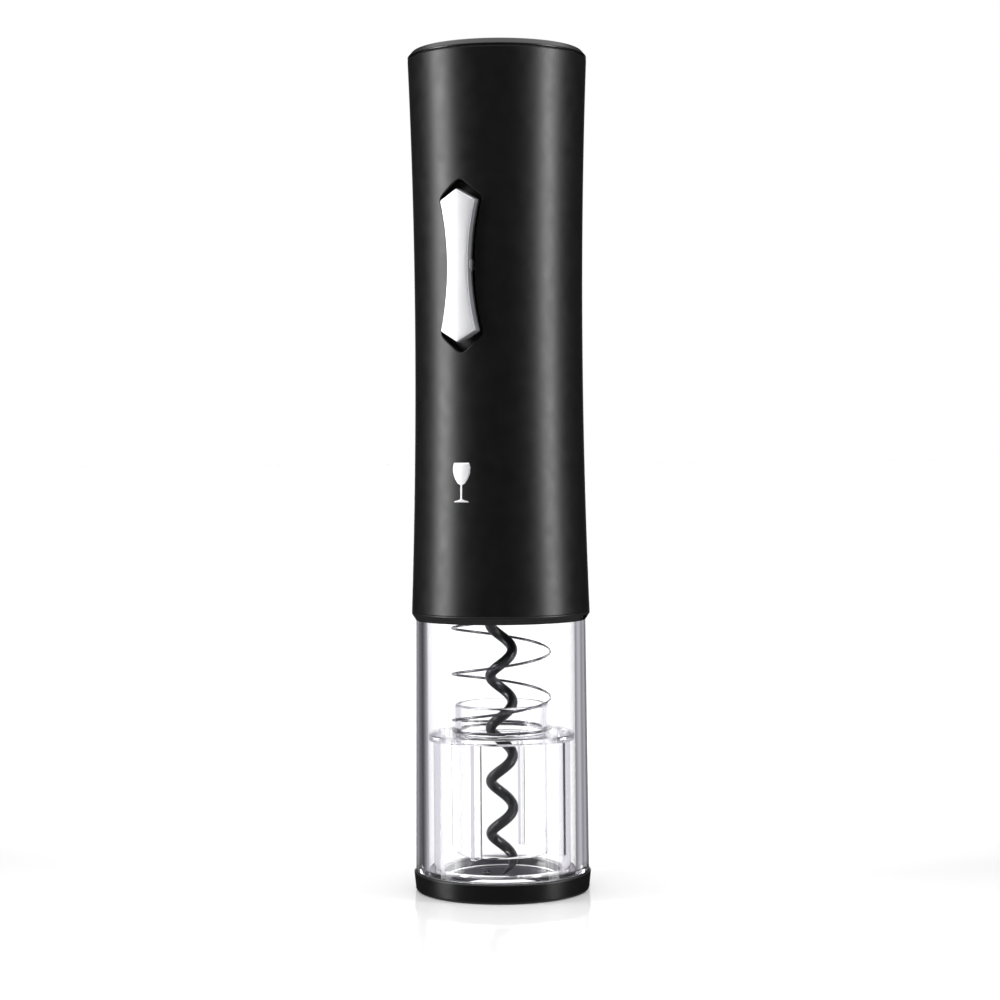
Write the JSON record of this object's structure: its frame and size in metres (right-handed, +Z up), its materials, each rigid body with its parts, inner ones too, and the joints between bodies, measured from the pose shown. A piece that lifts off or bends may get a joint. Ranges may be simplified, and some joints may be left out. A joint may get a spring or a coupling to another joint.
{
  "type": "electric wine opener",
  "caption": "Upright electric corkscrew with a waisted black housing, hourglass rocker switch, clear lower shell, sprung clear cork guide, worm and a removable foil cutter base.",
  "frame": {"origin": "centre of the base, on the surface it stands on", "axes": "+Z up along the worm, the rocker switch faces -Y, +X to the right seen from the front"},
  "size_m": [0.051, 0.0519, 0.24],
  "materials": {
    "black_housing": "satin moulded black",
    "black_cap": "satin to gloss black",
    "black_trim": "satin black",
    "black_ring": "satin black",
    "silver_button": "satin silver paint",
    "clear_plastic": "polished clear plastic",
    "clear_guide": "moulded clear plastic",
    "coated_worm": "black non-stick coating",
    "spring_steel": "drawn steel wire",
    "bright_steel": "turned steel",
    "blade_steel": "ground steel",
    "inner_plastic": "moulded dark grey",
    "gear_plastic": "natural acetal",
    "brass": "machined",
    "contact_metal": "nickel plated",
    "motor_metal": "zinc plated",
    "circuit_board": "green laminate",
    "cell_wrap": "plain grey wrap",
    "seal_rubber": "matte"
  },
  "bodies": {
    "chassis": {"housing_sleeve": "black_housing", "lower_bezel": "black_trim", "clear_shell": "clear_plastic", "button_tray": "black_trim", "rocker_pin": "bright_steel", "switch_board": "circuit_board", "tact_switches": "inner_plastic", "board_screws": "bright_steel", "battery_carrier": "inner_plastic", "battery_contacts": "contact_metal", "contact_board": "circuit_board", "aa_cells": "cell_wrap", "cap_seal": "seal_rubber", "drive_frame": "inner_plastic", "motor_can": "motor_metal", "motor_end_bell": "inner_plastic", "motor_terminals": "contact_metal", "motor_mount_plate": "bright_steel", "motor_screws": "bright_steel", "ring_gear": "gear_plastic", "gearbox_nose": "inner_plastic", "output_bush": "brass", "gearbox_screws": "bright_steel", "guide_spring": "spring_steel"},
    "cap_plate": {"cap_contact_plate": "inner_plastic", "cap_contacts": "contact_metal"},
    "cap": {"top_cap": "black_cap"},
    "rocker": {"rocker_button": "silver_button"},
    "motor_rotor": {"motor_shaft": "bright_steel", "motor_pinion": "brass"},
    "carrier": {"stage_1_carrier": "gear_plastic", "stage_1_pins": "bright_steel"},
    "planet_1a": {"stage_1_planet_1": "gear_plastic"},
    "planet_1b": {"stage_1_planet_2": "gear_plastic"},
    "planet_1c": {"stage_1_planet_3": "gear_plastic"},
    "output": {"output_carrier": "bright_steel", "stage_2_pins": "bright_steel", "retaining_clip": "bright_steel", "worm_hub": "inner_plastic", "worm": "coated_worm"},
    "planet_2a": {"stage_2_planet_1": "gear_plastic"},
    "planet_2b": {"stage_2_planet_2": "gear_plastic"},
    "planet_2c": {"stage_2_planet_3": "gear_plastic"},
    "guide": {"guide_sleeve": "clear_guide"},
    "foil_cutter": {"foil_cutter_ring": "black_ring", "cutter_pins": "bright_steel"},
    "cutter_a": {"cutter_wheel_1": "blade_steel"},
    "cutter_b": {"cutter_wheel_2": "blade_steel"},
    "cutter_c": {"cutter_wheel_3": "blade_steel"},
    "cutter_d": {"cutter_wheel_4": "blade_steel"}
  },
  "joints": [
    {"name": "cap_turn", "type": "hinge", "parent": "cap_plate", "child": "cap", "pos_m": [0, 0, 0.2345], "axis": [0, 0, 1], "range_deg": [0, 900]},
    {"name": "cap_lift", "type": "slide", "parent": "chassis", "child": "cap_plate", "axis": [0, 0, 1], "range_m": [0, 0.005]},
    {"name": "rocker_tilt", "type": "hinge", "parent": "chassis", "child": "rocker", "pos_m": [0, -0.0182, 0.177], "axis": [1, 0, 0], "range_deg": [-3.5, 3.5], "stiffness_Nm_per_rad": 0.6},
    {"name": "worm_spin", "type": "hinge", "parent": "chassis", "child": "output", "pos_m": [0, 0, 0.1], "axis": [0, 0, 1], "continuous": true},
    {"name": "carrier_spin", "type": "hinge", "parent": "chassis", "child": "carrier", "pos_m": [0, 0, 0.115], "axis": [0, 0, 1], "continuous": true},
    {"name": "motor_spin", "type": "hinge", "parent": "chassis", "child": "motor_rotor", "pos_m": [0, 0, 0.119], "axis": [0, 0, 1], "continuous": true},
    {"name": "planet_1a_spin", "type": "hinge", "parent": "carrier", "child": "planet_1a", "pos_m": [0.009, 0, 0.119], "axis": [0, 0, 1], "continuous": true},
    {"name": "planet_2a_spin", "type": "hinge", "parent": "output", "child": "planet_2a", "pos_m": [0.009, 0, 0.1108], "axis": [0, 0, 1], "continuous": true},
    {"name": "planet_1b_spin", "type": "hinge", "parent": "carrier", "child": "planet_1b", "pos_m": [-0.0045, 0.00779, 0.119], "axis": [0, 0, 1], "continuous": true},
    {"name": "planet_2b_spin", "type": "hinge", "parent": "output", "child": "planet_2b", "pos_m": [-0.0045, 0.00779, 0.1108], "axis": [0, 0, 1], "continuous": true},
    {"name": "planet_1c_spin", "type": "hinge", "parent": "carrier", "child": "planet_1c", "pos_m": [-0.0045, -0.00779, 0.119], "axis": [0, 0, 1], "continuous": true},
    {"name": "planet_2c_spin", "type": "hinge", "parent": "output", "child": "planet_2c", "pos_m": [-0.0045, -0.00779, 0.1108], "axis": [0, 0, 1], "continuous": true},
    {"name": "guide_slide", "type": "slide", "parent": "chassis", "child": "guide", "axis": [0, 0, 1], "range_m": [0, 0.038], "stiffness_N_per_m": 150, "springref_m": -0.02, "deforming": ["guide_spring"]},
    {"name": "foil_cutter_pull", "type": "slide", "parent": "chassis", "child": "foil_cutter", "axis": [0, 0, 1], "range_m": [-0.012, 0]},
    {"name": "cutter_a_spin", "type": "hinge", "parent": "foil_cutter", "child": "cutter_a", "pos_m": [0.01397, 0.01397, 0.0019], "axis": [0, 0, 1], "continuous": true},
    {"name": "cutter_b_spin", "type": "hinge", "parent": "foil_cutter", "child": "cutter_b", "pos_m": [-0.01397, 0.01397, 0.0019], "axis": [0, 0, 1], "continuous": true},
    {"name": "cutter_c_spin", "type": "hinge", "parent": "foil_cutter", "child": "cutter_c", "pos_m": [-0.01397, -0.01397, 0.0019], "axis": [0, 0, 1], "continuous": true},
    {"name": "cutter_d_spin", "type": "hinge", "parent": "foil_cutter", "child": "cutter_d", "pos_m": [0.01397, -0.01397, 0.0019], "axis": [0, 0, 1], "continuous": true}
  ],
  "couplings": [
    {"joint": "cap_lift", "follows": "cap_turn", "m_per_rad": 0.00031831},
    {"joint": "carrier_spin", "follows": "worm_spin", "ratio": 5},
    {"joint": "motor_spin", "follows": "worm_spin", "ratio": 25},
    {"joint": "planet_1a_spin", "follows": "worm_spin", "ratio": -13.333},
    {"joint": "planet_2a_spin", "follows": "worm_spin", "ratio": -2.6667},
    {"joint": "planet_1b_spin", "follows": "worm_spin", "ratio": -13.333},
    {"joint": "planet_2b_spin", "follows": "worm_spin", "ratio": -2.6667},
    {"joint": "planet_1c_spin", "follows": "worm_spin", "ratio": -13.333},
    {"joint": "planet_2c_spin", "follows": "worm_spin", "ratio": -2.6667}
  ]
}
